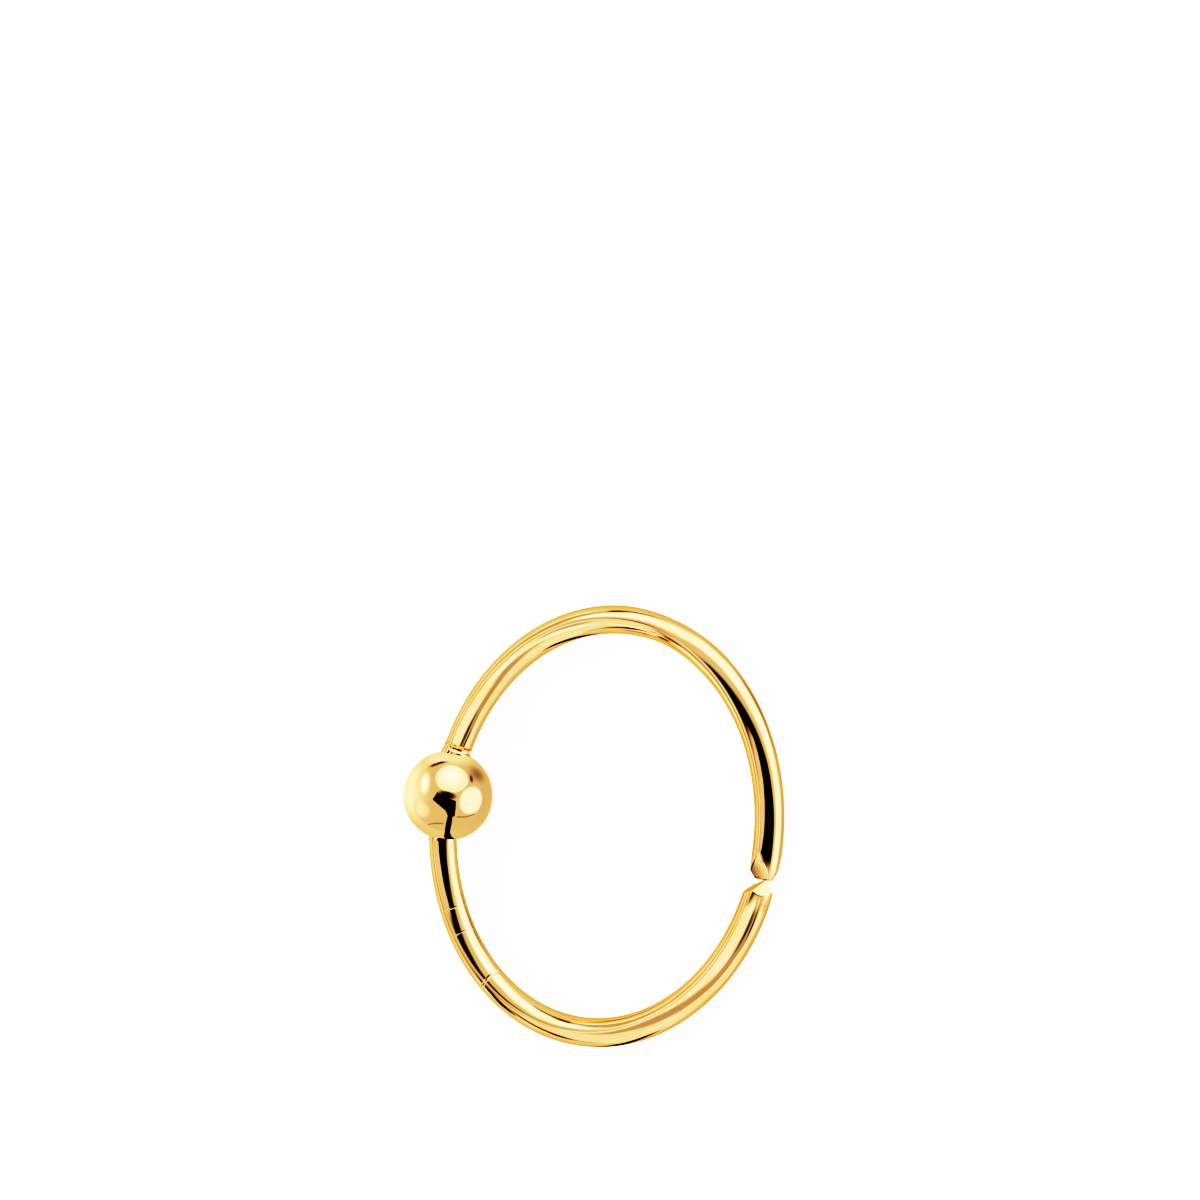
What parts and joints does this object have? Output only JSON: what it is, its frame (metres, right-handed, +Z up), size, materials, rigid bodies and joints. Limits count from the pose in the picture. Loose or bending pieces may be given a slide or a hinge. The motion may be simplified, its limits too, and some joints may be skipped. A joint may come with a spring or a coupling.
{
  "type": "nose ring",
  "caption": "Round split wire hoop with a small soldered ball, worn through a nostril or other small piercing.",
  "frame": {"origin": "on the surface that the ring lies on, under the middle of its outline", "axes": "+Z up from the surface, +X from the ball towards the split, +Y across the hoop"},
  "size_m": [0.0098, 0.0092, 0.0019],
  "materials": {
    "gold": "polished yellow gold"
  },
  "bodies": {
    "root": {"hoop_with_ball": "gold"}
  },
  "joints": []
}
